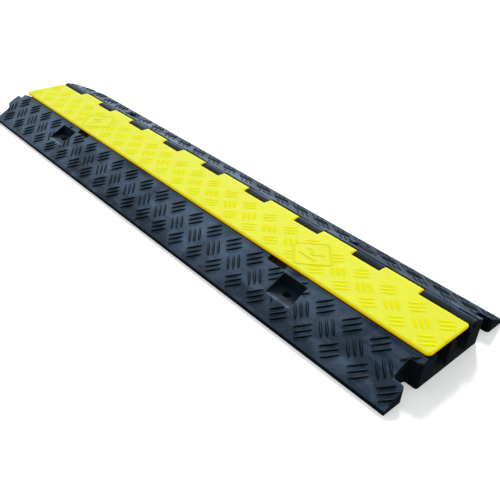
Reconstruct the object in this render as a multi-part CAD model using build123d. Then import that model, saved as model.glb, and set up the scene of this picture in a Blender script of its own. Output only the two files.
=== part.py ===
from build123d import *
from math import hypot, sqrt
import os

# Two-channel cable protector ramp: a rubber base, a hinged plastic lid and a steel hinge rod.
# Frame: X along the cables, -Y the side where the lid lifts, +Y the hinge side, +Z up.
# The origin lies on the floor face, at the centre of the four anchor holes. Units are mm.

# ---- overall size
LENGTH = 1000.0            # base, end face to end face, without the joining lugs
WIDTH = 250.0              # toe to toe
LID_TOP = 47.5             # top of the closed lid above the floor
TOE_H = 5.5                # upright face along each toe
TOE_ROUND = 1.6

# ---- ramps
CREST_Y = 54.0             # front ramp ends here, at the lid's front edge
CREST_Z = 43.2
SHOULDER_Y = 50.4          # rear ramp ends here, behind the hinge
SHOULDER_ROUND = 3.0       # the open lid leans back on this rounded edge
CREST_ROUND = 1.0
RISE = (CREST_Z - TOE_H) / (WIDTH / 2 - CREST_Y)

# ---- cable channels
FLOOR_T = 5.0              # rubber under the channels
LEDGE_Z = 38.0             # walls end here and carry the lid
CHANNEL_ROUND = 3.0
FRONT_CHANNEL = (-35.5, -6.5)
REAR_CHANNEL = (5.0, 36.0)
WALL_DRAFT = 0.6           # each channel wall leans back this much from floor to ledge
WALL_CAP = 3.5             # rounding on top of the middle wall

# ---- hinge
HINGE_Y = 40.0
HINGE_R = 9.0              # lid barrels and rubber knuckles
HINGE_Z = LID_TOP - HINGE_R
ROD_R = 4.0
BORE_R = 4.05
ROD_SETBACK = 3.0          # the rod ends this far inside the base's end faces
ROD_CHAMFER = 0.6
POCKET_R = 10.2            # round pockets in the base that the lid barrels turn in
TAB_COUNT = 8
TAB_W = 61.0
TAB_GAP = 51.0
TAB_PITCH = TAB_W + TAB_GAP
KNUCKLE_CLEAR = 2.0        # between a lid tab and the knuckle beside it
KNUCKLE_FILL_Z = 45.0      # top of the web between each knuckle and the rear ramp
CREASE_Y = 48.4            # thin crease in that web
CREASE_W = 1.3
CREASE_D = 1.8

# ---- lid
LID_LENGTH = 998.0
LID_FRONT_Y = -53.2
LID_BACK_Y = 29.7
LID_SKIN = 4.5
LID_CORNER = 7.0
LID_BACK_CORNER = 4.0
LID_EDGE = 1.4             # rounding along the lid's upper edges
TAB_ROUND = 1.0            # rounding down both sides of each tab
RIB_T = 3.0
RIB_FLOOR_GAP = 0.4        # the lid's ribs stop this far above the ledges
RIB_INSET = 5.0
RIB_OVERLAP = 0.5          # how far the ribs run up into the skin
TAB_OVERLAP = 8.0          # how far the tabs run under the plate's back edge
CROSS_RIB_PITCH = TAB_PITCH / 2

# ---- anchor pockets, two in each ramp
ANCHOR_X = 300.0
ANCHOR_Y = 78.0
ANCHOR_HOLE_R = 5.5
POCKET_W = 43.0
POCKET_FLOOR_Z = 20.5
POCKET_TOP_Y = 63.5        # upright wall, at the top
POCKET_BACK_Y = 66.5       # the same wall, at the pocket floor
POCKET_ROUND = 1.5

# ---- finger notches under the lid's front edge
FINGER_X = 258.8
FINGER_W = 32.4
FINGER_OUT_Y = -61.2
FINGER_IN_Y = -46.0
FINGER_Z = 27.0
FINGER_ROUND = 2.0

# ---- joining ends: notches at +X, lugs at -X
NOTCH_DEPTH = 17.5
NOTCH_IN_Y = 64.5
NOTCH_OUT_Y = 91.0
NOTCH_ROUND = 3.0
NOTCH_MOUTH = 5.0          # rounding of the mouth's outer corner
BLOCK_ROUND = 3.5          # rounding of the mouth's inner corner
LUG_CLEAR = 1.0
LUG_LENGTH = NOTCH_DEPTH - LUG_CLEAR
LUG_ROUND = 5.0
LUG_ROOT = 5.0             # how far the lug runs back into the base
LUG_DROP = 0.6             # the lug's top lies this far under the ramp

# ---- relief under the lid's front corner at the lug end
RELIEF_X = 9.0
RELIEF_Y = (-57.0, -35.0)
RELIEF_Z = 34.0

# ---- grip grooves in the floor face
GROOVE_Y = (57.0, 68.0, 92.0, 103.0, 114.0)
GROOVE_W = 4.0
GROOVE_D = 1.5
GROOVE_END = 30.0

RIM_ROUND = 0.8            # rounding of every moulded rim on the ramps
PAST = 5.0                 # how far a cutter runs past the face that it opens
NEAR = 0.02                # two places closer than this count as the same
CLEAR = 1.0                # a place this far inside a face is clear of it
SIDES = (-1, 1)


def ramp_z(y):
    """Height of either ramp at y."""
    return TOE_H + RISE * (WIDTH / 2 - abs(y))


def outline(points):
    """Face in the YZ plane through (y, z) points."""
    return make_face(Plane.YZ * Polyline(*points, close=True))


def along_x(face, x0, x1):
    """Extrude a YZ face from x0 to x1."""
    return extrude(Pos(x0, 0, 0) * face, x1 - x0, dir=(1, 0, 0))


def block(x, y, z):
    """Box between (low, high) pairs."""
    size = Box(x[1] - x[0], y[1] - y[0], z[1] - z[0])
    return Pos(sum(x) / 2, sum(y) / 2, sum(z) / 2) * size


def x_cylinder(radius, x0, x1):
    """Cylinder on the hinge axis from x0 to x1."""
    axis = Pos((x0 + x1) / 2, HINGE_Y, HINGE_Z) * Rot(0, 90, 0)
    return axis * Cylinder(radius, x1 - x0)


def near(shape_list, y, z):
    """The members of a YZ profile's vertex list that lie at (y, z)."""
    return [v for v in shape_list if hypot(v.Y - y, v.Z - z) < NEAR]


def tab_spans():
    """Start and end of each lid tab along X."""
    first = -(TAB_COUNT * TAB_W + (TAB_COUNT - 1) * TAB_GAP) / 2
    return [(first + i * TAB_PITCH, first + i * TAB_PITCH + TAB_W) for i in range(TAB_COUNT)]


def knuckle_spans():
    """Start and end of each rubber knuckle: one at each end and one between each pair of tabs."""
    edges = [-LENGTH / 2]
    for start, end in tab_spans():
        edges += [start - KNUCKLE_CLEAR, end + KNUCKLE_CLEAR]
    edges.append(LENGTH / 2)
    return list(zip(edges[0::2], edges[1::2]))


def base_profile():
    """Cross-section of the base without its knuckles."""
    toe = WIDTH / 2
    channels = []
    for low, high in (FRONT_CHANNEL, REAR_CHANNEL):
        channels += [(low, LEDGE_Z), (low + WALL_DRAFT, FLOOR_T)]
        channels += [(high - WALL_DRAFT, FLOOR_T), (high, LEDGE_Z)]
    points = [(-toe, 0), (-toe, TOE_H), (-CREST_Y, CREST_Z), (-CREST_Y, LEDGE_Z)]
    points += channels
    points += [(SHOULDER_Y, LEDGE_Z), (SHOULDER_Y, ramp_z(SHOULDER_Y)), (toe, TOE_H), (toe, 0)]
    face = outline(points)
    roundings = [
        (TOE_ROUND, [(-toe, TOE_H), (toe, TOE_H)]),
        (CREST_ROUND, [(-CREST_Y, CREST_Z)]),
        (SHOULDER_ROUND, [(SHOULDER_Y, ramp_z(SHOULDER_Y))]),
        (CHANNEL_ROUND, channels[1:3] + channels[5:7]),
        (WALL_CAP, [channels[3], channels[4]]),
    ]
    for radius, corners in roundings:
        vertices = [v for corner in corners for v in near(face.vertices(), *corner)]
        face = fillet(vertices, radius)
    return face


def knuckle(x0, x1):
    """Rubber hinge knuckle on the rear channel wall, joined to the ramp behind a thin crease."""
    root_z = HINGE_Z - POCKET_R
    ramp_y = WIDTH / 2 - (KNUCKLE_FILL_Z - TOE_H) / RISE
    inside_y = SHOULDER_Y + 2 * SHOULDER_ROUND
    web = outline([
        (REAR_CHANNEL[1], root_z),
        (REAR_CHANNEL[1], LEDGE_Z),
        (HINGE_Y, KNUCKLE_FILL_Z),
        (ramp_y, KNUCKLE_FILL_Z),
        (inside_y, ramp_z(inside_y)),
        (inside_y, root_z),
    ])
    crease = block((x0, x1), (CREASE_Y, CREASE_Y + CREASE_W), (KNUCKLE_FILL_Z - CREASE_D, LID_TOP))
    return x_cylinder(HINGE_R, x0, x1) + along_x(web, x0, x1) - crease


def anchor_pocket(side, x):
    """Cutter for one wedge-shaped anchor pocket and its through hole."""
    deep = LID_TOP + PAST
    points = [
        (side * POCKET_TOP_Y, ramp_z(POCKET_TOP_Y)),
        (side * POCKET_BACK_Y, POCKET_FLOOR_Z),
        (side * WIDTH / 2, POCKET_FLOOR_Z),
        (side * WIDTH / 2, deep),
        (side * POCKET_TOP_Y, deep),
    ]
    wedge = along_x(outline(points), x - POCKET_W / 2, x + POCKET_W / 2)
    inner = [e for e in wedge.edges() if e.center().Z < ramp_z(POCKET_TOP_Y)]
    inner = [e for e in inner if abs(e.center().Y) < WIDTH / 2 - CLEAR]
    wedge = fillet(inner, POCKET_ROUND)
    hole = Pos(x, side * ANCHOR_Y, POCKET_FLOOR_Z / 2) * Cylinder(ANCHOR_HOLE_R, POCKET_FLOOR_Z + PAST)
    return wedge, hole


def finger_notch(x):
    """Cutter for one finger notch, which reaches in under the lid."""
    half = FINGER_W / 2
    scoop = block((x - half, x + half), (FINGER_OUT_Y, FINGER_IN_Y), (FINGER_Z, LID_TOP))
    inner = [e for e in scoop.edges() if e.center().Z < LID_TOP - CLEAR]
    return fillet(inner, FINGER_ROUND)


def notch_plan(side):
    """Plan of one end notch, with a rounded mouth."""
    inner = LENGTH / 2 - NOTCH_DEPTH
    mouth = LENGTH / 2
    width = NOTCH_OUT_Y - NOTCH_IN_Y
    slot = Pos(inner + (NOTCH_DEPTH + PAST) / 2, side * (NOTCH_IN_Y + width / 2))
    face = slot * Rectangle(NOTCH_DEPTH + PAST, width)
    face = fillet([v for v in face.vertices() if v.X < mouth], NOTCH_ROUND)
    for y, radius, away in ((NOTCH_OUT_Y, NOTCH_MOUTH, 1), (NOTCH_IN_Y, BLOCK_ROUND, -1)):
        corner = Pos(mouth - radius / 2, side * (y + away * radius / 2)) * Rectangle(radius, radius)
        disc = Pos(mouth - radius, side * (y + away * radius)) * Circle(radius)
        face += corner - disc
    return face


def lug(side):
    """Joining lug with a sloped top, sized to drop into the next base's notch."""
    width = NOTCH_OUT_Y - NOTCH_IN_Y - 2 * LUG_CLEAR
    middle = side * (NOTCH_IN_Y + NOTCH_OUT_Y) / 2
    plan = Pos(-LENGTH / 2 - (LUG_LENGTH - LUG_ROOT) / 2, middle) * Rectangle(LUG_LENGTH + LUG_ROOT, width)
    plan = fillet([v for v in plan.vertices() if v.X < -LENGTH / 2], LUG_ROUND)
    body = extrude(plan, LID_TOP)
    toe = side * WIDTH / 2
    under_ramp = outline([(0, 0), (toe, 0), (toe, TOE_H - LUG_DROP), (0, ramp_z(0) - LUG_DROP)])
    return body & along_x(under_ramp, -LENGTH / 2 - 2 * LUG_LENGTH, 0)


def grip_grooves():
    """Cutters for the long shallow grooves in the floor face."""
    reach = LENGTH / 2 - GROOVE_END
    grooves = []
    for side in SIDES:
        for y in GROOVE_Y:
            middle = side * y
            grooves.append(
                block((-reach, reach), (middle - GROOVE_W / 2, middle + GROOVE_W / 2), (-PAST, GROOVE_D))
            )
    return grooves


def on_ramp(point):
    """True where a point lies on the sloped face of either ramp."""
    return abs(point.Z - ramp_z(point.Y)) < NEAR


def rim_edges(base):
    """Edges round the pockets and notches and across the +X end, without the long toe and crest edges."""
    spans = (0, 0.5, 1)
    rims = [e for e in base.edges() if all(on_ramp(e.position_at(t)) for t in spans)]
    return [e for e in rims if e.length < WIDTH and e.center().X > CLEAR - LENGTH / 2]


def ramp_base():
    """The rubber moulding: ramps, channels, knuckles, pockets, notches and lugs in one piece."""
    half = LENGTH / 2
    base = along_x(base_profile(), -half, half)
    for side in SIDES:
        base += lug(side)
        base -= extrude(Pos(0, 0, -PAST) * notch_plan(side), LID_TOP + 2 * PAST)
        for x in (-ANCHOR_X, ANCHOR_X):
            for cutter in anchor_pocket(side, x):
                base -= cutter
    for x in (-FINGER_X, FINGER_X):
        base -= finger_notch(x)
    base = fillet(rim_edges(base), RIM_ROUND)
    for start, end in tab_spans():
        base -= x_cylinder(POCKET_R, start - KNUCKLE_CLEAR, end + KNUCKLE_CLEAR)
    for start, end in knuckle_spans():
        base += knuckle(start, end)
    base -= x_cylinder(BORE_R, -half - PAST, half + PAST)
    base -= block((-half - PAST, -half + RELIEF_X), RELIEF_Y, (RELIEF_Z, LID_TOP))
    for groove in grip_grooves():
        base -= groove
    return base


def lid_plate():
    """Skin of the lid, with rounded corners and rounded upper edges."""
    half = LID_LENGTH / 2
    depth = LID_BACK_Y - LID_FRONT_Y
    face = Pos(0, LID_FRONT_Y + depth / 2) * Rectangle(LID_LENGTH, depth)
    front = [v for v in face.vertices() if v.Y < 0]
    face = fillet(front, LID_CORNER)
    back = [v for v in face.vertices() if abs(v.X) > half - CLEAR and v.Y > 0]
    face = fillet(back, LID_BACK_CORNER)
    plate = extrude(Pos(0, 0, LID_TOP - LID_SKIN) * face, LID_SKIN)
    top = plate.faces().sort_by(Axis.Z)[-1]
    return fillet(top.edges(), LID_EDGE)


def lid_tab(x0, x1):
    """One tab: the plate's skin running back and curling round the rod."""
    under = LID_TOP - LID_SKIN
    reach = sqrt(HINGE_R**2 - (under - HINGE_Z) ** 2)
    strip = block((x0, x1), (LID_BACK_Y - TAB_OVERLAP, HINGE_Y), (under, LID_TOP))
    under_curl = block((x0, x1), (HINGE_Y - reach, HINGE_Y), (HINGE_Z, under))
    barrel = x_cylinder(HINGE_R, x0, x1)
    tab = barrel + strip + (under_curl & barrel)
    ends = [e for e in tab.edges() if min(abs(e.center().X - x0), abs(e.center().X - x1)) < NEAR]
    return fillet(ends, TAB_ROUND)


def lid_ribs():
    """Ribs under the skin: three along the lid and a row across it."""
    low = LEDGE_Z + RIB_FLOOR_GAP
    high = LID_TOP - LID_SKIN + RIB_OVERLAP
    end = LID_LENGTH / 2 - RIB_INSET
    front = LID_FRONT_Y + RIB_INSET
    middle = (FRONT_CHANNEL[1] + REAR_CHANNEL[0]) / 2 - RIB_T / 2
    back = LID_BACK_Y - RIB_T
    ribs = [block((-end, end), (y, y + RIB_T), (low, high)) for y in (front, middle, back)]
    count = int(2 * end // CROSS_RIB_PITCH)
    first = -count * CROSS_RIB_PITCH / 2
    places = [first + i * CROSS_RIB_PITCH for i in range(count + 1)]
    places += [-end + RIB_T / 2, end - RIB_T / 2]
    for x in places:
        ribs.append(block((x - RIB_T / 2, x + RIB_T / 2), (front, back + RIB_T), (low, high)))
    return ribs


def lid():
    """The yellow lid, closed."""
    cover = lid_plate()
    for start, end in tab_spans():
        cover += lid_tab(start, end)
    for rib in lid_ribs():
        cover += rib
    return cover - x_cylinder(BORE_R, -LENGTH / 2, LENGTH / 2)


def hinge_rod():
    """Steel rod through every knuckle and lid barrel."""
    half = LENGTH / 2 - ROD_SETBACK
    rod = x_cylinder(ROD_R, -half, half)
    ends = rod.edges().filter_by(GeomType.CIRCLE)
    return chamfer(ends, ROD_CHAMFER)


os.makedirs("parts", exist_ok=True)
for name, make in (("ramp_base", ramp_base), ("lid", lid), ("hinge_rod", hinge_rod)):
    export_step(make(), f"parts/{name}.step")
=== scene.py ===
import math

import bmesh
import bpy
from mathutils import Matrix, Vector

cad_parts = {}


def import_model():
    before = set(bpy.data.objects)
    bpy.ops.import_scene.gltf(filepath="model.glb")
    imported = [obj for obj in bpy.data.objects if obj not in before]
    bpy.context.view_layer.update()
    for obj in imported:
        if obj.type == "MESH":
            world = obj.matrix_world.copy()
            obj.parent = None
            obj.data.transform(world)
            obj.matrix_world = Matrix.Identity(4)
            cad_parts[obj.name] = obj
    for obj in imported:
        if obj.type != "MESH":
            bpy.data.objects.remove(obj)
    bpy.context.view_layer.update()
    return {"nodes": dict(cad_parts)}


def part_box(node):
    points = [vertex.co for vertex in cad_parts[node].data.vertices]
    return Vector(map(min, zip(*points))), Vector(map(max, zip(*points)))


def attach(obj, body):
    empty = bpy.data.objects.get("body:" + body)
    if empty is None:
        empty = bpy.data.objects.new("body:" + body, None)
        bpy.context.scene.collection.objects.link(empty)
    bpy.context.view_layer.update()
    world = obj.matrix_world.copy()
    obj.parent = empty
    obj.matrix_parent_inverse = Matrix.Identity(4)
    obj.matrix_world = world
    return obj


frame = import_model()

# Cable protector ramp: looks for the rubber base, the yellow lid and the hinge rod, and their
# moulded tread. Metres. X runs along the cables, -Y is the side where the lid lifts, +Y the hinge
# side and +Z up. Colours are linear.

MM = 0.001
HARD_EDGE = 45                       # degrees; edges sharper than this are shaded sharp

# ---- places on the CAD parts
BASE_LOW, BASE_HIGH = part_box("ramp_base")
LID_LOW, LID_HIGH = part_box("lid")
END_X = BASE_HIGH.x                  # end face at the notch end
TOE_Y, TOE_Z = BASE_HIGH.y, 5.5 * MM     # outer edge of a ramp
CREST_Y, CREST_Z = 54 * MM, 43.2 * MM    # inner edge of a ramp
SLOPE = math.atan2(CREST_Z - TOE_Z, TOE_Y - CREST_Y)
LID_Z = LID_HIGH.z                   # top of the lid
ROD_Y, ROD_Z = 40 * MM, 38.5 * MM
TAB_PITCH, TAB_SLOT = 112 * MM, 65 * MM

# ---- openings in a ramp that its tread stops at
POCKET_X, POCKET_HALF = 300 * MM, 21.5 * MM
POCKET_Y = (63.5 * MM, 96.8 * MM)
FINGER_X, FINGER_HALF = 258.8 * MM, 16.2 * MM
FINGER_Y = (46 * MM, 61.2 * MM)
NOTCH_X = (482.5 * MM, END_X + 10 * MM)
NOTCH_Y = (64.5 * MM, 96 * MM)

# ---- tread bars
BAR_SECTIONS = 15                    # steps along a bar
BAR_ARC = 8                          # steps across a bar
BAR_SINK = 0.7 * MM                  # how deep a foot sits in its surface
BAR_TAPER, BAR_DROP = 0.55, 0.45     # how a bar narrows and lowers towards its tips
BARS_IN_GROUP = 3
CLIP_GAP = 1.0 * MM                  # bars stop this far from a pocket, notch or end
FRAME_GAP = 0.7 * MM                 # and this far from a sign frame
SMALLEST = 4.5 * MM                  # a cut bar shorter than this isn't moulded
ON_CUT = 1e-7                        # points this near to a cut lie on it
FEWEST_FACES = 4                     # of a solid
RAMP_TREAD = {
    "rows": (20.1 * MM, 41 * MM, 62.8 * MM),      # up the slope from the toe
    "pitch": 43.8 * MM,                           # from group to group
    "offset": 8 * MM,                             # X of the middle group
    "spacing": 7.8 * MM,                          # from bar to bar in a group
    "bar": {"length": 25 * MM, "width": 4.0 * MM, "height": 1.8 * MM, "arch": 0.55},
}
LID_TREAD = {
    "rows": (-35.5 * MM, -15.2 * MM, 6.3 * MM),   # Y
    "pitch": 43.9 * MM,
    "offset": 0,                                  # the middle group is in the lid's middle
    "spacing": 7.4 * MM,
    "bar": {"length": 22.5 * MM, "width": 5.2 * MM, "height": 0.32 * MM, "arch": 1.1},
}

# ---- signs on the lid: a diamond frame at each end, with plain marks in it
SIGN_X, SIGN_Y = 280 * MM, -12.5 * MM
SIGN_HALF = 35.5 * MM                # centre to corner
SIGN_CORNER = 5 * MM                 # corner radius
CORNER_STEPS = 3                     # steps each way round a corner
LINE_W, LINE_H = 3.6 * MM, 0.32 * MM
LINE_ARC = 6                         # steps across a raised line
SHARPEST = 0.5                       # a line is at most 1 / SHARPEST as wide at a corner
WAVE_STEPS = 24
ZIGZAG = ((-3, 17), (-12, -3), (3, 2), (-3, -17))     # this, BAR and WAVE: mm from the centre
BAR = ((-15, -10), (15, -10))
WAVE = tuple(
    (-14 + 28 * t / WAVE_STEPS, 3 + 4.5 * math.sin(2.6 * math.pi * t / WAVE_STEPS))
    for t in range(WAVE_STEPS + 1)
)

# ---- rubber
PATCHES = {"scale": 13, "detail": 4, "rough": 0.55, "distort": 0.8}
STREAKS = {"scale": 1, "detail": 4, "rough": 0.6}
STREAK_STRETCH = (9, 90, 90)
SWIRLS = {"scale": 52, "detail": 4, "rough": 0.55, "distort": 1.7}
RUBBER_GRAIN = {"scale": 1400, "detail": 2}
RUBBER_GRAIN_BUMP = (0.08 * MM, 0.5)     # distance and strength, as in the other bumps
SWIRL_BUMP = (3.0 * MM, 0.6)
BAR_BUMP = (0.6 * MM, 0.3)
COOL = (0.40, 0.60, 1.0, 1)          # tint of its gloss
SHEEN = (0.6, 0.85, 1.0, 1)
RUBBER_DARK, RUBBER_LIGHT = (0.010, 0.016, 0.024), (0.100, 0.160, 0.235)
RIM_HIGHLIGHT = (0.085, 0.125, 0.150)     # painted highlight along the edge of an opening
SUNK_SHADE = (0.008, 0.011, 0.011)   # painted shade inside an opening, and beside the lid's tabs
END_SHADE = (0.008, 0.010, 0.008)    # painted shade on the end faces
# painted light from the yellow lid: olive in the channels, brown in the finger notches
OLIVE_LID_LIGHT, BROWN_LID_LIGHT = (0.055, 0.060, 0.036), (0.26, 0.18, 0.09)
# painted shade down the bars' flanks; the tones below are their tops, paler with painted light
BAR_FLANK_SHADE = (0.002, 0.003, 0.003)
BAR_DARK, BAR_LIGHT = (0.016, 0.027, 0.032), (0.045, 0.070, 0.088)

# Where the rubber's masks rise from 0 to 1 or fall back to 0. A band has both pairs.
REAR_RAMP = (46 * MM, 52 * MM)       # Y
RIM_BAND = (0.03 * MM, 0.12 * MM, 0.5 * MM, 0.9 * MM)     # depth below the ramp's top
WALL_DEPTH = (0.1 * MM, 0.4 * MM)    # the same, on faces square to Y
SUNK_DEPTH = (0.8 * MM, 2.5 * MM)    # the same, on all faces
POCKET_FAR = (83 * MM, 91 * MM)      # distance from the middle
CHANNEL_EDGE = (60 * MM, 62 * MM)    # distance from the middle
CHANNEL_BAND = (1 * MM, 3 * MM, 35 * MM, 37 * MM)         # height
FINGER_EDGE = (17 * MM, 20 * MM)     # distance along X from a finger notch's middle
FINGER_START = (38 * MM, 46 * MM)    # distance from the middle
TAB_SHADE_RING = (9.3 * MM, 9.6 * MM, 12.2 * MM, 13.2 * MM)   # distance from the rod's axis of the painted shade beside the tabs
TAB_EDGE = ((TAB_PITCH - TAB_SLOT) / 2, (TAB_PITCH - TAB_SLOT) / 2 + 0.5 * MM)

# ---- yellow plastic
CLOUDS = {"scale": 11, "detail": 4, "rough": 0.6}
SCUFFS = {"scale": 1, "detail": 5, "rough": 0.7}
SCUFF_STRETCH = (26, 140, 140)
PLASTIC_GRAIN = {"scale": 1100, "detail": 2}
CLOUD_BUMP, PLASTIC_GRAIN_BUMP = (0.6 * MM, 0.15), (0.05 * MM, 0.45)
SCUFF_DARKER = 0.8                   # a scuff's colour against the plastic's
LEMON, DEEP_LEMON, RIM_GLOW_ORANGE = (0.77, 0.785, 0.072), (0.765, 0.765, 0.002), (0.95, 0.50, 0.004)
RIM_LIGHT_HIGH, RIM_LIGHT_LOW = (0.64, 0.62, 0.0), (0.45, 0.22, 0.0)
LID_EDGE = (LID_Z - 2.8 * MM, LID_Z - 1.2 * MM)    # painted orange light below, yellow above
RIM_FOOT = (LID_Z - 4.6 * MM, LID_Z - 4.2 * MM)    # the rim glows above this

# ---- steel
DRAW_MARKS = {"scale": 1, "detail": 3, "rough": 0.6}
DRAW_STRETCH = (900, 30, 30)
STAINS = {"scale": 60, "detail": 4, "rough": 0.6}
DRAW_BUMP = (0.03 * MM, 0.5)
STEEL_BRIGHT, STEEL_STAINED = (0.62, 0.63, 0.65), (0.33, 0.31, 0.29)

# ---- studio
WHITE = (1, 1, 1, 1)
STAGE_CLOUDS = {"scale": 3}
FLOOR_TONES = ((0.93, 0.93, 0.93), (0.95, 0.95, 0.95))
FLOOR_GLOW = 0.38                    # keeps its shadow light
WALL_TONES = ((0.1, 0.1, 0.1), (0.12, 0.12, 0.12))
WALL_GLOW = 1.0
FLOOR_Z = BASE_LOW.z - 0.1 * MM
FLOOR_REACH = 9.0
WALL_REACH = 7.0
WALL_TOP = 9.0
WALL_SIDES = 64
KEY_FROM = (-0.48, 0.64, 0.60)
KEY_ENERGY = 2.95
KEY_ANGLE = 13                       # degrees across, for soft shadows
SKY_COLOUR = (0.95, 0.985, 1.0, 1)
SKY_FROM = (-0.35, 0.6, 0.7)         # where the sky is brightest
SKY_GLOW = (-0.35, 0.9, 0.08, 0.74)  # cosines of two angles from there, and the strength at each
SKY_RISE = (-0.2, 0.15, 0.35, 1.0)   # the same from straight up
LENS, SENSOR = 44.725, 36            # mm
CAMERA_AT = (0.72825, -0.55875, 0.52052)
CAMERA_ANGLES = (46.295, 34.014, 3.5685)     # degrees: azimuth from -Y towards +X, elevation, roll


# ---------------------------------------------------------------- mesh helpers
def mesh_object(name, bm):
    """Makes a shown object from a bmesh, shaded smooth apart from its hard edges."""
    bmesh.ops.recalc_face_normals(bm, faces=bm.faces)
    mesh = bpy.data.meshes.new(name)
    bm.to_mesh(mesh)
    bm.free()
    mesh.shade_smooth()
    obj = bpy.data.objects.new(name, mesh)
    bpy.context.scene.collection.objects.link(obj)
    split = obj.modifiers.new("hard_edges", "EDGE_SPLIT")
    split.split_angle = math.radians(HARD_EDGE)
    return obj


def place(origin, along, normal):
    """Matrix whose X is along, Z is normal and origin is where it sits."""
    z = Vector(normal).normalized()
    x = Vector(along).normalized()
    y = z.cross(x)
    return Matrix((
        (x.x, y.x, z.x, origin[0]),
        (x.y, y.y, z.y, origin[1]),
        (x.z, y.z, z.z, origin[2]),
        (0, 0, 0, 1),
    ))


def lens_bar(bm, matrix, length, width, height, arch):
    """A closed bar, pointed at both ends and rounded across, sunk a little into its surface."""
    rings = []
    for i in range(1, BAR_SECTIONS):
        u = -math.cos(math.pi * i / BAR_SECTIONS)
        half = width / 2 * (1 - u * u) ** BAR_TAPER
        top = height * (1 - u * u) ** BAR_DROP
        points = []
        for j in range(BAR_ARC + 1):
            v = -math.cos(math.pi * j / BAR_ARC)
            points.append((u * length / 2, v * half, top * max(0.0, 1 - v * v) ** arch))
        points.append((u * length / 2, half, -BAR_SINK))
        points.append((u * length / 2, -half, -BAR_SINK))
        rings.append([bm.verts.new(matrix @ Vector(p)) for p in points])
    tips = [bm.verts.new(matrix @ Vector((s * length / 2, 0, -BAR_SINK / 2))) for s in (-1, 1)]
    count = len(rings[0])
    for a, b in zip(rings, rings[1:]):
        for k in range(count):
            n = (k + 1) % count
            bm.faces.new((a[k], a[n], b[n], b[k]))
    for k in range(count):
        n = (k + 1) % count
        bm.faces.new((tips[0], rings[0][n], rings[0][k]))
        bm.faces.new((tips[1], rings[-1][k], rings[-1][n]))


# ---------------------------------------------------------------- cutting bars
# A region is a convex space, given as (point, outward normal) planes.
def cut(bm, point, normal):
    """Keeps what lies behind the plane and closes the cut."""
    geometry = bm.verts[:] + bm.edges[:] + bm.faces[:]
    bmesh.ops.bisect_plane(
        bm, geom=geometry, plane_co=point, plane_no=normal, clear_outer=True, dist=ON_CUT
    )
    open_edges = [e for e in bm.edges if e.is_boundary]
    if open_edges:
        bmesh.ops.holes_fill(bm, edges=open_edges)


def outside_pieces(bm, region):
    """The parts of a bar that lie outside the region."""
    inside = bm.copy()
    found = []
    for point, normal in region:
        part = inside.copy()
        cut(part, point, -normal)
        found.append(part)
        cut(inside, point, normal)
    untouched = not inside.verts
    inside.free()
    if untouched:
        for part in found:
            part.free()
        return [bm]
    bm.free()
    return found


def big_enough(bm):
    """False for an empty piece and for a stump."""
    if len(bm.faces) < FEWEST_FACES:
        return False
    xs = [v.co.x for v in bm.verts]
    ys = [v.co.y for v in bm.verts]
    return max(max(xs) - min(xs), max(ys) - min(ys)) > SMALLEST


def add_clipped(target, matrix, shape, regions):
    """Adds one bar to target, less what falls in the regions."""
    bar = bmesh.new()
    lens_bar(bar, matrix, **shape)
    parts = [bar]
    for region in regions:
        parts = [q for p in parts for q in outside_pieces(p, region)]
    for part in parts:
        if big_enough(part):
            scratch = bpy.data.meshes.new("scratch")
            part.to_mesh(scratch)
            target.from_mesh(scratch)
            bpy.data.meshes.remove(scratch)
        part.free()


def touches(origin, region, reach):
    """True where a bar centred at origin may meet the region."""
    return all((origin - point).dot(normal) < reach for point, normal in region)


def box_region(x, y):
    """Box between two (low, high) pairs in plan, grown by the gap."""
    return [
        (Vector((x[0] - CLIP_GAP, 0, 0)), Vector((-1, 0, 0))),
        (Vector((x[1] + CLIP_GAP, 0, 0)), Vector((1, 0, 0))),
        (Vector((0, y[0] - CLIP_GAP, 0)), Vector((0, -1, 0))),
        (Vector((0, y[1] + CLIP_GAP, 0)), Vector((0, 1, 0))),
    ]


def diamond_region(x, y):
    """The square standing on its corner that a sign frame fills, grown by the gap."""
    reach = SIGN_HALF / math.sqrt(2) + LINE_W / 2 + FRAME_GAP
    planes = []
    for sx in (-1, 1):
        for sy in (-1, 1):
            normal = Vector((sx, sy, 0)).normalized()
            planes.append((Vector((x, y, 0)) + normal * reach, normal))
    return planes


def end_regions(low, high):
    """Everything past either end of the object."""
    return [
        [(Vector((high - CLIP_GAP, 0, 0)), Vector((-1, 0, 0)))],
        [(Vector((low + CLIP_GAP, 0, 0)), Vector((1, 0, 0)))],
    ]


# ---------------------------------------------------------------- tread
def tread(name, layout, start, up, normal, end, regions):
    """Rows of bars in groups, one row leaning against the next.

    The rows are counted from start along up, and run from -end to end.
    """
    pitch, shape = layout["pitch"], layout["bar"]
    reach = shape["length"] / 2
    groups = int(end / pitch) + 1
    bm = bmesh.new()
    for row, distance in enumerate(layout["rows"]):
        lean, shift = ((1, 0), (-1, pitch / 2))[row % 2]
        along = Vector((1, 0, 0)) + lean * up
        across = (Vector((1, 0, 0)) - lean * up).normalized()
        for k in range(-groups, groups + 1):
            middle = Vector((layout["offset"] + shift + k * pitch, 0, 0))
            centre = start + distance * up + middle
            for i in range(BARS_IN_GROUP):
                origin = centre + across * ((i - (BARS_IN_GROUP - 1) / 2) * layout["spacing"])
                if abs(origin.x) < end + reach:
                    near = [r for r in regions if touches(origin, r, reach)]
                    add_clipped(bm, place(origin, along, normal), shape, near)
    return mesh_object(name, bm)


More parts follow.
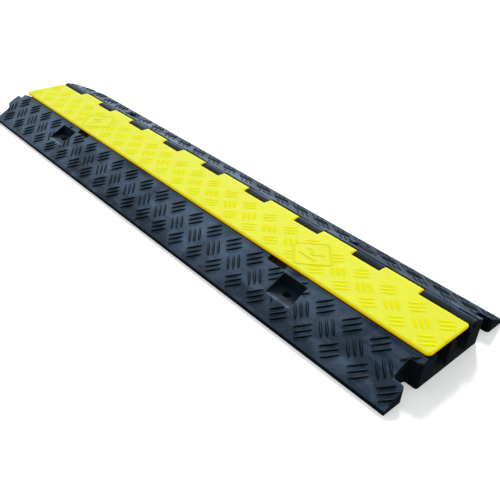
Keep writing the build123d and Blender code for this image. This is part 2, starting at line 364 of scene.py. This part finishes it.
def ramp_tread(name, side):
    """Tread on one ramp. side is -1 for the front ramp and 1 for the rear."""
    def on_side(pair):
        return tuple(sorted((side * pair[0], side * pair[1])))

    regions = end_regions(-END_X, END_X)
    for x in (-POCKET_X, POCKET_X):
        regions.append(box_region((x - POCKET_HALF, x + POCKET_HALF), on_side(POCKET_Y)))
    regions.append(box_region(NOTCH_X, on_side(NOTCH_Y)))
    if side < 0:
        for x in (-FINGER_X, FINGER_X):
            regions.append(box_region((x - FINGER_HALF, x + FINGER_HALF), on_side(FINGER_Y)))
    toe = Vector((0, side * TOE_Y, TOE_Z))
    up = Vector((0, -side * math.cos(SLOPE), math.sin(SLOPE)))
    normal = Vector((0, side * math.sin(SLOPE), math.cos(SLOPE)))
    return tread(name, RAMP_TREAD, toe, up, normal, END_X, regions)


def lid_tread():
    """Tread on the lid, cut round the two sign frames."""
    regions = end_regions(LID_LOW.x, LID_HIGH.x)
    for x in (-SIGN_X, SIGN_X):
        regions.append(diamond_region(x, SIGN_Y))
    start, rearward, normal = Vector((0, 0, LID_Z)), Vector((0, 1, 0)), Vector((0, 0, 1))
    return tread("lid_tread", LID_TREAD, start, rearward, normal, LID_HIGH.x, regions)


# ---------------------------------------------------------------- raised lines
def line_section():
    """Section of a raised line: (across, up) pairs over the top, then the sunk foot."""
    points = []
    for j in range(LINE_ARC + 1):
        a = math.pi * j / LINE_ARC
        points.append((-math.cos(a) * LINE_W / 2, LINE_H * max(0.0, math.sin(a))))
    return points + [(LINE_W / 2, -BAR_SINK), (-LINE_W / 2, -BAR_SINK)]


def raised_line(bm, path, closed):
    """Sweeps the raised line along points on the lid's top."""
    section = line_section()
    count = len(path)
    rings = []
    for i, p in enumerate(path):
        before = path[i - 1] if closed or i > 0 else p
        after = path[(i + 1) % count] if closed or i < count - 1 else p
        along = (after - before).normalized()
        side = Vector((-along.y, along.x, 0))
        ahead = after - p
        mitre = 1
        if ahead.length > 0:
            mitre = max(SHARPEST, abs(side.dot(Vector((-ahead.y, ahead.x, 0)).normalized())))
        rings.append([
            bm.verts.new(p + side * (across / mitre) + Vector((0, 0, up)))
            for across, up in section
        ])
    following = rings[1:] + rings[:1] if closed else rings[1:]
    for a, b in zip(rings, following):
        for k in range(len(section)):
            n = (k + 1) % len(section)
            bm.faces.new((a[k], a[n], b[n], b[k]))
    if not closed:
        bm.faces.new(rings[0])
        bm.faces.new(rings[-1][::-1])


def rounded_diamond(x, y):
    """Closed path round one sign frame."""
    path = []
    reach = SIGN_HALF - SIGN_CORNER * (math.sqrt(2) - 1)
    for quarter in range(4):
        middle = math.pi / 2 * quarter
        outward = Vector((math.cos(middle), math.sin(middle), 0))
        hub = Vector((x, y, LID_Z)) + outward * (reach - SIGN_CORNER)
        for t in range(-CORNER_STEPS, CORNER_STEPS + 1):
            a = middle + t / CORNER_STEPS * math.pi / 4
            path.append(hub + Vector((math.cos(a), math.sin(a), 0)) * SIGN_CORNER)
    return path


def sign_frames():
    """The two diamond frames."""
    bm = bmesh.new()
    for x in (-SIGN_X, SIGN_X):
        raised_line(bm, rounded_diamond(x, SIGN_Y), True)
    return mesh_object("lid_sign_frames", bm)


def sign_marks():
    """Plain marks in the frames: a zigzag at the lug end, a wave over a bar at the notch end."""
    bm = bmesh.new()
    for x, strokes in ((-SIGN_X, (ZIGZAG,)), (SIGN_X, (BAR, WAVE))):
        for stroke in strokes:
            path = [Vector((x + a * MM, SIGN_Y + b * MM, LID_Z)) for a, b in stroke]
            raised_line(bm, path, False)
    return mesh_object("lid_sign_marks", bm)


# ---------------------------------------------------------------- materials
class Shader:
    """A node material under construction. Its maths takes sockets and plain numbers alike."""

    def __init__(self, name):
        self.material = bpy.data.materials.new(name)
        self.material.use_nodes = True
        self.tree = self.material.node_tree
        self.tree.nodes.clear()
        self.out = self.tree.nodes.new("ShaderNodeOutputMaterial")
        self.surface = self.tree.nodes.new("ShaderNodeBsdfPrincipled")
        self.tree.links.new(self.surface.outputs[0], self.out.inputs["Surface"])
        self.coords = self.tree.nodes.new("ShaderNodeTexCoord")

    def link(self, source, target):
        self.tree.links.new(source, target)

    def set(self, **values):
        """Constant values on the Principled sockets."""
        for name, value in values.items():
            self.surface.inputs[name.replace("_", " ")].default_value = value

    def stretched(self, scale):
        """Object coordinates scaled along each axis."""
        node = self.tree.nodes.new("ShaderNodeMapping")
        node.inputs["Scale"].default_value = scale
        self.link(self.coords.outputs["Object"], node.inputs["Vector"])
        return node.outputs["Vector"]

    def noise(self, scale, detail=3.0, rough=0.5, vector=None, distort=0.0):
        """Noise from 0 to 1, mostly near a half."""
        node = self.tree.nodes.new("ShaderNodeTexNoise")
        node.inputs["Scale"].default_value = scale
        node.inputs["Detail"].default_value = detail
        node.inputs["Roughness"].default_value = rough
        node.inputs["Distortion"].default_value = distort
        self.link(vector or self.coords.outputs["Object"], node.inputs["Vector"])
        return node.outputs["Fac"]

    def spread(self, value, low, high, to_low=0.0, to_high=1.0):
        """Carries low to high over to to_low to to_high, and holds it there outside."""
        node = self.tree.nodes.new("ShaderNodeMapRange")
        numbers = {"From Min": low, "From Max": high, "To Min": to_low, "To Max": to_high}
        for name, number in numbers.items():
            node.inputs[name].default_value = number
        self.link(value, node.inputs["Value"])
        return node.outputs["Result"]

    def fall(self, value, low, high):
        """1 up to low, 0 from high on."""
        return self.spread(value, low, high, 1, 0)

    def band(self, value, start, full, fade, end):
        """1 from full to fade, 0 up to start and from end on."""
        return self.times(self.spread(value, start, full), self.fall(value, fade, end))

    def math(self, kind, a, b=0):
        """One Math node."""
        node = self.tree.nodes.new("ShaderNodeMath")
        node.operation = kind
        for socket, value in zip(node.inputs, (a, b)):
            if isinstance(value, (int, float)):
                socket.default_value = value
            else:
                self.link(value, socket)
        return node.outputs[0]

    def times(self, first, *others):
        for other in others:
            first = self.math("MULTIPLY", first, other)
        return first

    def plus(self, first, *others):
        for other in others:
            first = self.math("ADD", first, other)
        return first

    def greater(self, a, b):
        return self.math("MAXIMUM", a, b)

    def apart(self, a, b):
        """Distance between two places on one axis."""
        return self.math("ABSOLUTE", self.math("SUBTRACT", a, b))

    def mix(self, factor, a, b):
        """Colour a where the factor is 0, colour b where it is 1."""
        node = self.tree.nodes.new("ShaderNodeMix")
        node.data_type = "RGBA"
        for name, value in (("Factor_Float", factor), ("A_Color", a), ("B_Color", b)):
            socket = next(s for s in node.inputs if s.identifier == name)
            if isinstance(value, tuple):
                socket.default_value = (*value, 1)
            else:
                self.link(value, socket)
        return next(s for s in node.outputs if s.identifier == "Result_Color")

    def part_of(self, output, axis):
        """One axis of a texture coordinate."""
        split = self.tree.nodes.new("ShaderNodeSeparateXYZ")
        self.link(self.coords.outputs[output], split.inputs[0])
        return split.outputs[axis]

    def facing(self, axis):
        """How far the surface faces along one axis of its own object, 0 to 1."""
        return self.math("ABSOLUTE", self.part_of("Normal", axis))

    def along(self, axis):
        """Place along one axis of its own object."""
        return self.part_of("Object", axis)

    def offset(self, axis):
        """Distance from the object's middle plane along one axis."""
        return self.math("ABSOLUTE", self.along(axis))

    def from_rod(self):
        """Distance from the hinge rod's axis."""
        across = self.math("SUBTRACT", self.along("Y"), ROD_Y)
        up = self.math("SUBTRACT", self.along("Z"), ROD_Z)
        return self.math("SQRT", self.plus(self.times(across, across), self.times(up, up)))

    def beside_tab(self):
        """1 along each hinge tab, 0 along the rubber knuckles between them."""
        return self.spread(self.math("PINGPONG", self.along("X"), TAB_PITCH / 2), *TAB_EDGE)

    def colour(self, socket):
        self.link(socket, self.surface.inputs["Base Color"])

    def roughness(self, socket):
        self.link(socket, self.surface.inputs["Roughness"])

    def bumps(self, *layers):
        """Stacks bump layers: (height, distance, strength)."""
        normal = None
        for height, distance, strength in layers:
            node = self.tree.nodes.new("ShaderNodeBump")
            node.inputs["Distance"].default_value = distance
            node.inputs["Strength"].default_value = strength
            self.link(height, node.inputs["Height"])
            if normal is not None:
                self.link(normal, node.inputs["Normal"])
            normal = node.outputs["Normal"]
        self.link(normal, self.surface.inputs["Normal"])


def openings(s):
    """Masks for the painted highlight on the openings' rims and painted shade on their walls and
    floors.
    """
    drop = math.tan(SLOPE)
    ramp_top = s.plus(s.times(s.offset("Y"), -drop), TOE_Z + TOE_Y * drop)
    below = s.math("SUBTRACT", ramp_top, s.along("Z"))
    walls = s.times(s.spread(below, *WALL_DEPTH), s.spread(s.facing("Y"), 0.6, 0.8))
    return s.band(below, *RIM_BAND), s.greater(s.spread(below, *SUNK_DEPTH), walls)


def lid_lit_places(s):
    """Masks for the channels' and finger notches' insides, which get painted lid light, and for
    the notches.
    """
    inside = s.times(
        s.fall(s.offset("Y"), *CHANNEL_EDGE), s.band(s.along("Z"), *CHANNEL_BAND)
    )
    finger = s.times(
        s.fall(s.apart(s.offset("X"), FINGER_X), *FINGER_EDGE),
        s.spread(s.offset("Y"), *FINGER_START),
    )
    return inside, finger


def rubber(name):
    """Moulded rubber: near-black with paler patches, streaks along the part and a cool gloss.

    It is palest at the lug end and the crests, and darker on the rear ramp. The end faces are
    matte, with painted shade; the openings have painted shade inside and a painted highlight on
    their rim, painted shade makes a black line beside the lid's tabs, and painted light from the
    yellow lid tints the channels olive and the finger notches brown.
    """
    s = Shader(name)
    patch = s.noise(**PATCHES)
    streak = s.noise(**STREAKS, vector=s.stretched(STREAK_STRETCH))
    grain = s.noise(**RUBBER_GRAIN)
    swirl = s.times(s.noise(**SWIRLS), s.spread(s.along("X"), -END_X, 0.5 * END_X, 1, 0.3))
    rear = s.spread(s.along("Y"), *REAR_RAMP)
    mottle = s.plus(
        s.times(patch, 0.72),
        s.times(streak, 0.28),
        s.spread(s.along("X"), -END_X, 0.6 * END_X, 0.11, -0.01),
        s.spread(s.offset("Y"), CREST_Y, TOE_Y, 0.06, -0.08),
        s.times(rear, -0.10),
    )

    ends = s.spread(s.facing("X"), 0.9, 0.98)
    rim, sunk = openings(s)
    inside, finger = lid_lit_places(s)
    tab_shade = s.times(s.band(s.from_rod(), *TAB_SHADE_RING), s.beside_tab())

    body = s.mix(s.spread(mottle, 0.42, 0.64), RUBBER_DARK, RUBBER_LIGHT)
    # painted highlight on the openings' rims
    body = s.mix(s.times(rim, 0.3), body, RIM_HIGHLIGHT)
    # painted shade inside the openings, on their walls and floors
    body = s.mix(s.times(sunk, 0.92), body, SUNK_SHADE)
    # painted shade on the ramp's shoulder beside each tab
    body = s.mix(tab_shade, body, SUNK_SHADE)
    # painted light from the yellow lid in the channels and finger notches
    lid_light_tint = s.mix(finger, OLIVE_LID_LIGHT, BROWN_LID_LIGHT)
    body = s.mix(s.times(inside, s.spread(patch, 0.3, 0.6, 0.5, 1)), body, lid_light_tint)
    # painted shade on the end faces, except in the finger notches
    s.colour(s.mix(s.times(ends, s.fall(finger, 0, 1)), body, END_SHADE))

    s.roughness(s.plus(
        s.spread(mottle, 0.38, 0.66, 0.66, 0.50),
        s.times(s.greater(ends, rim), 0.3),
        s.times(sunk, 0.2),
        s.times(s.greater(rear, s.times(tab_shade, 3)), 0.1),
        s.times(sunk, s.fall(s.offset("Y"), *POCKET_FAR), 0.2),
    ))
    s.set(Specular_IOR_Level=0.75, Specular_Tint=COOL)
    s.set(Sheen_Weight=0.1, Sheen_Roughness=0.35, Sheen_Tint=SHEEN)
    s.bumps((swirl, *SWIRL_BUMP), (grain, *RUBBER_GRAIN_BUMP))
    return s.material


def tread_rubber(name):
    """The bars' rubber: painted light makes their tops paler, painted shade their matte flanks
    black.
    """
    s = Shader(name)
    patch = s.noise(**PATCHES)
    grain = s.noise(**RUBBER_GRAIN)
    level_with_ramp = s.plus(
        s.times(s.facing("Y"), math.sin(SLOPE)),
        s.times(s.part_of("Normal", "Z"), math.cos(SLOPE)),
    )
    top = s.spread(level_with_ramp, 0.84, 0.98)
    # painted light on the bars' tops, painted shade down their flanks
    top_tone = s.mix(s.spread(patch, 0.4, 0.6), BAR_DARK, BAR_LIGHT)
    s.colour(s.mix(top, BAR_FLANK_SHADE, top_tone))
    s.roughness(s.spread(top, 0, 1, 0.9, 0.62))
    s.set(Specular_IOR_Level=0.32, Specular_Tint=COOL)
    s.bumps((patch, *BAR_BUMP), (grain, *RUBBER_GRAIN_BUMP))
    return s.material


def yellow_plastic(name, bright, deep, edge, level, rough, glow=0.0):
    """Moulded yellow plastic with faint clouds and scuffs.

    It goes from bright at the lug end to deep at the notch end, and to edge low on its rim, where
    edge is painted light. glow is the strength of the light in the rim, which stands in for light
    scattered in the plastic.
    """
    s = Shader(name)
    cloud = s.noise(**CLOUDS)
    grain = s.noise(**PLASTIC_GRAIN)
    scuff = s.noise(**SCUFFS, vector=s.stretched(SCUFF_STRETCH))
    deeper = s.plus(
        s.spread(s.along("X"), -END_X, END_X, 0, 0.8), s.spread(cloud, 0.35, 0.7, -0.1, 0.2)
    )
    top = s.mix(s.spread(deeper, 0, 1), bright, deep)
    darker = tuple(SCUFF_DARKER * c for c in deep)
    scuffed = s.mix(s.spread(scuff, 0.62, 0.85, 0, 0.35), top, darker)
    upright = s.fall(s.facing("Z"), 0.35, 0.98)
    down = s.fall(s.along("Z"), *LID_EDGE)
    # painted light: upright faces low on the rim take the edge colour
    s.colour(s.mix(s.times(upright, down), scuffed, edge))
    s.roughness(s.spread(scuff, 0.3, 0.8, rough, rough + 0.16))
    rim = s.times(upright, s.spread(s.along("Z"), *RIM_FOOT))
    rim_light = s.mix(down, RIM_LIGHT_HIGH, RIM_LIGHT_LOW)
    s.link(s.mix(rim, (0, 0, 0), rim_light), s.surface.inputs["Emission Color"])
    s.set(Specular_IOR_Level=level, Emission_Strength=glow, Subsurface_Weight=0.3 * glow)
    s.set(Subsurface_Scale=8 * MM, Subsurface_Radius=(1.0, 0.6, 0.04))
    s.bumps((cloud, *CLOUD_BUMP), (grain, *PLASTIC_GRAIN_BUMP))
    return s.material


def steel(name):
    """Drawn bright steel with marks round it."""
    s = Shader(name)
    drawn = s.noise(**DRAW_MARKS, vector=s.stretched(DRAW_STRETCH))
    stain = s.noise(**STAINS)
    s.colour(s.mix(s.spread(stain, 0.4, 0.75), STEEL_BRIGHT, STEEL_STAINED))
    s.roughness(s.spread(drawn, 0.3, 0.7, 0.22, 0.4))
    s.set(Metallic=1.0)
    s.bumps((drawn, *DRAW_BUMP))
    return s.material


def pale_floor():
    """Pale, and a little bright of itself, so that its shadow stays light."""
    s = Shader("studio_floor")
    s.colour(s.mix(s.noise(**STAGE_CLOUDS), *FLOOR_TONES))
    s.set(Roughness=0.9, Specular_IOR_Level=0.1)
    s.set(Emission_Color=WHITE, Emission_Strength=FLOOR_GLOW)
    return s.material


def pale_wall():
    """Evenly bright, so that it looks the same from every side."""
    s = Shader("studio_wall")
    s.colour(s.mix(s.noise(**STAGE_CLOUDS), *WALL_TONES))
    s.set(Roughness=1.0, Specular_IOR_Level=0.0)
    s.set(Emission_Color=WHITE, Emission_Strength=WALL_GLOW)
    return s.material


def dress(obj, material):
    """Gives one of the script's own objects its only material."""
    obj.data.materials.clear()
    obj.data.materials.append(material)


# ---------------------------------------------------------------- build
RUBBER = rubber("moulded_rubber")
TREAD_RUBBER = tread_rubber("tread_rubber")
YELLOW = yellow_plastic(
    "yellow_plastic", bright=LEMON, deep=DEEP_LEMON, edge=RIM_GLOW_ORANGE, level=0.08, rough=0.52, glow=1.0
)
# The bars and signs take deeper yellows than LEMON, whose pale, bluish tone is painted glare on
# the flat lid.
TREAD_YELLOW = yellow_plastic(
    "tread_yellow",
    bright=(0.82, 0.80, 0.001),
    deep=(0.80, 0.785, 0.010),
    edge=(0.81, 0.77, 0.001),
    level=0.0,
    rough=0.8,
)
SIGN_YELLOW = yellow_plastic(
    "sign_yellow",
    bright=(0.78, 0.75, 0.004),
    deep=(0.78, 0.73, 0.002),
    edge=(0.78, 0.68, 0.002),
    level=0.05,
    rough=0.7,
)
STEEL = steel("drawn_steel")

for node, finish in (("ramp_base", RUBBER), ("lid", YELLOW), ("hinge_rod", STEEL)):
    obj = frame["nodes"][node]
    for slot in obj.material_slots:
        slot.material = finish

for piece, body, slot, finish in (
    (ramp_tread("front_ramp_tread", -1), "base", "rubber", TREAD_RUBBER),
    (ramp_tread("rear_ramp_tread", 1), "base", "rubber", TREAD_RUBBER),
    (lid_tread(), "lid", "lid_plastic", TREAD_YELLOW),
    (sign_frames(), "lid", "lid_plastic", SIGN_YELLOW),
    (sign_marks(), "lid", "lid_plastic", SIGN_YELLOW),
):
    dress(piece, finish)
    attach(piece, body)


# ---------------------------------------------------------------- studio
def hide_from_bounces(obj):
    """The camera sees the stage and it takes shadows, but it throws no light on the object."""
    obj.visible_diffuse = False
    obj.visible_glossy = False


def floor():
    """Pale floor, a little below the object."""
    bm = bmesh.new()
    bmesh.ops.create_grid(bm, x_segments=8, y_segments=8, size=FLOOR_REACH)
    for v in bm.verts:
        v.co.z = FLOOR_Z
    ground = mesh_object("studio_floor", bm)
    dress(ground, pale_floor())
    hide_from_bounces(ground)


def wall():
    """Pale round wall, far out, so that low views see no edge of the floor."""
    bm = bmesh.new()
    rings = []
    for z in (FLOOR_Z, WALL_TOP):
        ring = []
        for i in range(WALL_SIDES):
            a = 2 * math.pi * i / WALL_SIDES
            ring.append(bm.verts.new((math.cos(a) * WALL_REACH, math.sin(a) * WALL_REACH, z)))
        rings.append(ring)
    low_ring, high_ring = rings
    for i in range(WALL_SIDES):
        n = (i + 1) % WALL_SIDES
        bm.faces.new((low_ring[i], low_ring[n], high_ring[n], high_ring[i]))
    screen = mesh_object("studio_wall", bm)
    dress(screen, pale_wall())
    screen.visible_shadow = False
    hide_from_bounces(screen)


def world():
    """Soft light from all round, stronger from above and behind, weaker from below."""
    made = bpy.data.worlds.new("studio")
    bpy.context.scene.world = made
    made.use_nodes = True
    tree = made.node_tree
    background = tree.nodes["Background"]
    coords = tree.nodes.new("ShaderNodeTexCoord")

    def ramp(direction, low, high, to_low, to_high):
        dot = tree.nodes.new("ShaderNodeVectorMath")
        dot.operation = "DOT_PRODUCT"
        dot.inputs[1].default_value = Vector(direction).normalized()
        node = tree.nodes.new("ShaderNodeMapRange")
        node.interpolation_type = "SMOOTHSTEP"
        numbers = {"From Min": low, "From Max": high, "To Min": to_low, "To Max": to_high}
        for name, number in numbers.items():
            node.inputs[name].default_value = number
        tree.links.new(coords.outputs["Generated"], dot.inputs[0])
        tree.links.new(dot.outputs["Value"], node.inputs["Value"])
        return node.outputs["Result"]

    both = tree.nodes.new("ShaderNodeMath")
    both.operation = "MULTIPLY"
    tree.links.new(ramp(SKY_FROM, *SKY_GLOW), both.inputs[0])
    tree.links.new(ramp((0, 0, 1), *SKY_RISE), both.inputs[1])
    tree.links.new(both.outputs[0], background.inputs["Strength"])
    background.inputs["Color"].default_value = SKY_COLOUR


def key_light():
    """One broad soft light from above and behind."""
    data = bpy.data.lights.new("key", "SUN")
    data.angle = math.radians(KEY_ANGLE)
    data.energy = KEY_ENERGY
    obj = bpy.data.objects.new("key", data)
    obj.rotation_euler = (-Vector(KEY_FROM)).to_track_quat("-Z", "Y").to_euler()
    bpy.context.scene.collection.objects.link(obj)


def camera():
    """The photograph's view: over the notch end, from the front."""
    data = bpy.data.cameras.new("camera")
    data.lens = LENS
    data.sensor_width = SENSOR
    azimuth, elevation, roll = map(math.radians, CAMERA_ANGLES)
    back = Vector((
        math.sin(azimuth) * math.cos(elevation),
        -math.cos(azimuth) * math.cos(elevation),
        math.sin(elevation),
    ))
    right = Vector((0, 0, 1)).cross(back).normalized()
    up = back.cross(right)
    right, up = (
        math.cos(roll) * right + math.sin(roll) * up,
        math.cos(roll) * up - math.sin(roll) * right,
    )
    obj = bpy.data.objects.new("camera", data)
    obj.matrix_world = Matrix((
        (right.x, up.x, back.x, CAMERA_AT[0]),
        (right.y, up.y, back.y, CAMERA_AT[1]),
        (right.z, up.z, back.z, CAMERA_AT[2]),
        (0, 0, 0, 1),
    ))
    bpy.context.scene.collection.objects.link(obj)
    bpy.context.scene.camera = obj


floor()
wall()
world()
key_light()
camera()
bpy.context.scene.view_settings.view_transform = "Standard"
